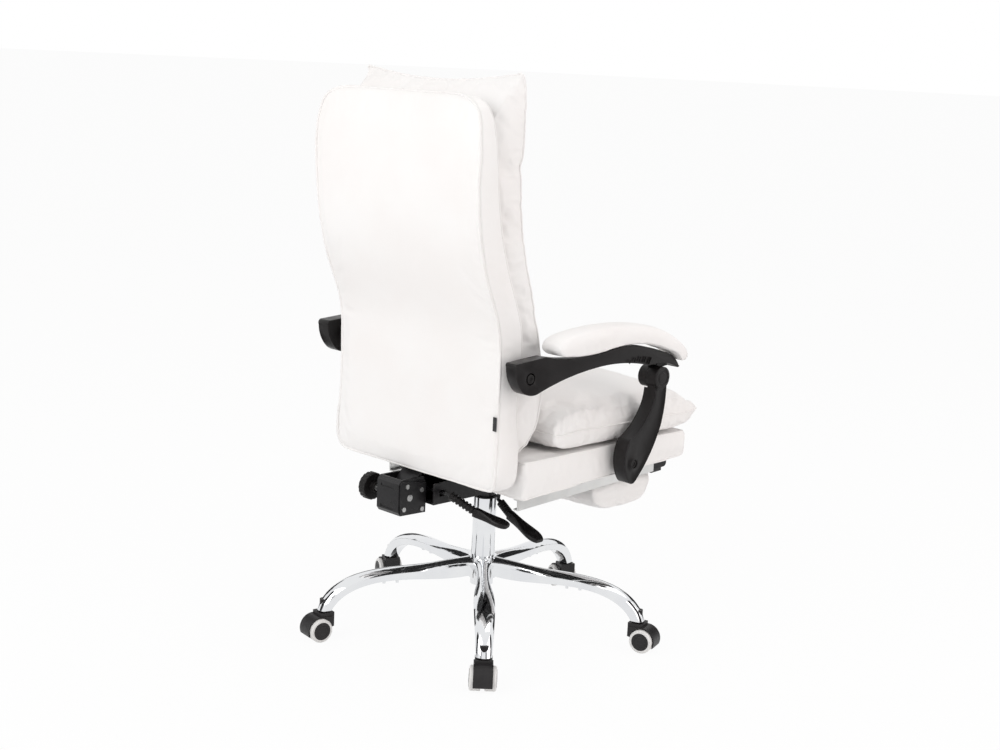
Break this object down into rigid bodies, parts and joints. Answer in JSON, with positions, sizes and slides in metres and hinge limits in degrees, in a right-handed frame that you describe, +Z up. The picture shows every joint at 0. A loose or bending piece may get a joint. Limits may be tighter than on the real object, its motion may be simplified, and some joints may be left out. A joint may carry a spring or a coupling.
{
  "type": "reclining office chair with footrest",
  "caption": "White padded executive office chair with a reclining back, linked armrests, a pull-out calf rest and a chromed star base on casters.",
  "frame": {"origin": "On the floor on the swivel axis of the gas column, all casters' wheels resting on the floor plane.", "axes": "+Z is up, the sitter faces -Y, +X is the sitter's left, +Y is the rear of the chair."},
  "size_m": [0.7534, 0.7651, 1.198],
  "materials": {
    "chrome": "polished chrome with soft reflections",
    "caster_plastic": "satin dark grey moulded plastic",
    "wheel_ring": "white tread ring with a dark plastic cap",
    "steel": "bright zinc plated steel",
    "black_plastic": "fine-grained black nylon",
    "black_steel": "semi-gloss black powder coat",
    "plywood": "raw birch plywood",
    "leather": "white grained leatherette with warm shading",
    "tab_fabric": "plain black woven tape"
  },
  "bodies": {
    "base": {"star_base": "chrome", "stem_inserts": "black_plastic", "column_tube": "chrome", "guide_bush": "black_plastic", "thrust_bearing": "steel"},
    "swivel_post": {"piston_rod": "steel", "rod_clip": "steel"},
    "seat": {"pressure_tube": "black_steel", "tilt_frame": "black_steel", "spring_case": "black_steel", "cheek_plate": "black_steel", "seat_bolts": "steel", "tilt_shaft": "steel", "tilt_springs": "black_steel", "seat_board": "plywood", "seat_cushion": "leather", "seat_pillow": "leather", "footrest_rails": "steel"},
    "backrest": {"back_strap": "black_steel", "back_board": "plywood", "back_shell": "leather", "back_overlay": "leather", "back_tab": "tab_fabric", "back_bolts": "steel"},
    "arm_right": {"arm_frame_right": "black_plastic", "arm_pad_right": "leather"},
    "arm_left": {"arm_frame_left": "black_plastic", "arm_pad_left": "leather"},
    "link_right": {"arm_link_right": "black_plastic"},
    "link_left": {"arm_link_left": "black_plastic"},
    "height_lever": {"height_lever_rod": "black_steel", "height_lever_grip": "black_plastic"},
    "recline_lever": {"recline_lever_rod": "black_steel", "recline_lever_grip": "black_plastic"},
    "release_pin": {"valve_pin": "steel"},
    "knob": {"tension_knob": "black_plastic"},
    "footrest_slider": {"footrest_frame": "black_steel"},
    "footrest_flap": {"footrest_board": "plywood", "footrest_pad": "leather"},
    "caster_near": {"caster_near_hood": "caster_plastic", "caster_near_pins": "steel"},
    "wheel_near_a": {"caster_near_wheel_a": "wheel_ring"},
    "wheel_near_b": {"caster_near_wheel_b": "wheel_ring"},
    "caster_right": {"caster_right_hood": "caster_plastic", "caster_right_pins": "steel"},
    "wheel_right_a": {"caster_right_wheel_a": "wheel_ring"},
    "wheel_right_b": {"caster_right_wheel_b": "wheel_ring"},
    "caster_far_right": {"caster_far_right_hood": "caster_plastic", "caster_far_right_pins": "steel"},
    "wheel_far_right_a": {"caster_far_right_wheel_a": "wheel_ring"},
    "wheel_far_right_b": {"caster_far_right_wheel_b": "wheel_ring"},
    "caster_far_left": {"caster_far_left_hood": "caster_plastic", "caster_far_left_pins": "steel"},
    "wheel_far_left_a": {"caster_far_left_wheel_a": "wheel_ring"},
    "wheel_far_left_b": {"caster_far_left_wheel_b": "wheel_ring"},
    "caster_left": {"caster_left_hood": "caster_plastic", "caster_left_pins": "steel"},
    "wheel_left_a": {"caster_left_wheel_a": "wheel_ring"},
    "wheel_left_b": {"caster_left_wheel_b": "wheel_ring"}
  },
  "joints": [
    {"name": "caster_near_swivel", "type": "hinge", "parent": "base", "child": "caster_near", "pos_m": [-0.25388, 0.24092, 0.06], "axis": [0, 0, 1], "continuous": true},
    {"name": "wheel_near_a_roll", "type": "hinge", "parent": "caster_near", "child": "wheel_near_a", "pos_m": [-0.2659, 0.25294, 0.025], "axis": [-0.7071, -0.7071, 0], "continuous": true},
    {"name": "wheel_near_b_roll", "type": "hinge", "parent": "caster_near", "child": "wheel_near_b", "pos_m": [-0.2659, 0.25294, 0.025], "axis": [-0.7071, -0.7071, 0], "continuous": true},
    {"name": "caster_right_swivel", "type": "hinge", "parent": "base", "child": "caster_right", "pos_m": [-0.30759, -0.16701, 0.06], "axis": [0, 0, 1], "continuous": true},
    {"name": "wheel_right_a_roll", "type": "hinge", "parent": "caster_right", "child": "wheel_right_a", "pos_m": [-0.32375, -0.17226, 0.025], "axis": [0.309, -0.9511, 0], "continuous": true},
    {"name": "wheel_right_b_roll", "type": "hinge", "parent": "caster_right", "child": "wheel_right_b", "pos_m": [-0.32375, -0.17226, 0.025], "axis": [0.309, -0.9511, 0], "continuous": true},
    {"name": "caster_far_right_swivel", "type": "hinge", "parent": "base", "child": "caster_far_right", "pos_m": [0.06378, -0.34414, 0.06], "axis": [0, 0, 1], "continuous": true},
    {"name": "wheel_far_right_a_roll", "type": "hinge", "parent": "caster_far_right", "child": "wheel_far_right_a", "pos_m": [0.07943, -0.35078, 0.025], "axis": [0.3907, 0.9205, 0], "continuous": true},
    {"name": "wheel_far_right_b_roll", "type": "hinge", "parent": "caster_far_right", "child": "wheel_far_right_b", "pos_m": [0.07943, -0.35078, 0.025], "axis": [0.3907, 0.9205, 0], "continuous": true},
    {"name": "caster_far_left_swivel", "type": "hinge", "parent": "base", "child": "caster_far_left", "pos_m": [0.34701, -0.04568, 0.06], "axis": [0, 0, 1], "continuous": true},
    {"name": "wheel_far_left_a_roll", "type": "hinge", "parent": "caster_far_left", "child": "wheel_far_left_a", "pos_m": [0.36241, -0.05287, 0.025], "axis": [0.4226, 0.9063, 0], "continuous": true},
    {"name": "wheel_far_left_b_roll", "type": "hinge", "parent": "caster_far_left", "child": "wheel_far_left_b", "pos_m": [0.36241, -0.05287, 0.025], "axis": [0.4226, 0.9063, 0], "continuous": true},
    {"name": "caster_left_swivel", "type": "hinge", "parent": "base", "child": "caster_left", "pos_m": [0.15068, 0.3159, 0.06], "axis": [0, 0, 1], "continuous": true},
    {"name": "wheel_left_a_roll", "type": "hinge", "parent": "caster_left", "child": "wheel_left_a", "pos_m": [0.15363, 0.33265, 0.025], "axis": [-0.9848, 0.1736, 0], "continuous": true},
    {"name": "wheel_left_b_roll", "type": "hinge", "parent": "caster_left", "child": "wheel_left_b", "pos_m": [0.15363, 0.33265, 0.025], "axis": [-0.9848, 0.1736, 0], "continuous": true},
    {"name": "seat_swivel", "type": "hinge", "parent": "base", "child": "swivel_post", "pos_m": [0, 0, 0.11], "axis": [0, 0, 1], "continuous": true},
    {"name": "seat_lift", "type": "slide", "parent": "swivel_post", "child": "seat", "axis": [0, 0, 1], "range_m": [0, 0.09]},
    {"name": "backrest_recline", "type": "hinge", "parent": "seat", "child": "backrest", "pos_m": [0, 0.232, 0.329], "axis": [-1, 0, 0], "range_deg": [0, 32]},
    {"name": "arm_right_turn", "type": "hinge", "parent": "backrest", "child": "arm_right", "pos_m": [-0.278, 0.187, 0.62], "axis": [1, 0, 0], "range_deg": [0, 30]},
    {"name": "arm_left_turn", "type": "hinge", "parent": "backrest", "child": "arm_left", "pos_m": [0.278, 0.187, 0.62], "axis": [1, 0, 0], "range_deg": [0, 30]},
    {"name": "link_right_turn", "type": "hinge", "parent": "seat", "child": "link_right", "pos_m": [-0.278, -0.137, 0.406], "axis": [-1, 0, 0], "range_deg": [0, 50]},
    {"name": "link_left_turn", "type": "hinge", "parent": "seat", "child": "link_left", "pos_m": [0.278, -0.137, 0.406], "axis": [-1, 0, 0], "range_deg": [0, 50]},
    {"name": "footrest_slide", "type": "slide", "parent": "seat", "child": "footrest_slider", "axis": [0, -0.999, 0.0436], "range_m": [0, 0.3]},
    {"name": "footrest_flip", "type": "hinge", "parent": "footrest_slider", "child": "footrest_flap", "pos_m": [0, -0.36314, 0.35476], "axis": [-1, 0, 0], "range_deg": [0, 180]},
    {"name": "height_lever_lift", "type": "hinge", "parent": "seat", "child": "height_lever", "pos_m": [-0.0335, 0, 0.355], "axis": [0, 1, 0], "range_deg": [0, 8], "stiffness_Nm_per_rad": 14, "springref_deg": -2.86},
    {"name": "release_pin_press", "type": "slide", "parent": "seat", "child": "release_pin", "axis": [0, 0, -1], "range_m": [0, 0.0058], "stiffness_N_per_m": 400},
    {"name": "recline_lever_lift", "type": "hinge", "parent": "seat", "child": "recline_lever", "pos_m": [-0.0335, 0.162, 0.334], "axis": [0, 1, 0], "range_deg": [0, 8], "stiffness_Nm_per_rad": 14, "springref_deg": -2.86},
    {"name": "tension_knob_turn", "type": "hinge", "parent": "seat", "child": "knob", "pos_m": [0.108, 0.232, 0.329], "axis": [1, 0, 0], "range_deg": [-720, 720]}
  ],
  "couplings": [
    {"joint": "arm_right_turn", "follows": "backrest_recline", "ratio": 0.9187},
    {"joint": "arm_left_turn", "follows": "backrest_recline", "ratio": 0.9187},
    {"joint": "link_right_turn", "follows": "backrest_recline", "ratio": 1.5304},
    {"joint": "link_left_turn", "follows": "backrest_recline", "ratio": 1.5304},
    {"joint": "release_pin_press", "follows": "height_lever_lift", "m_per_rad": 0.0385}
  ]
}
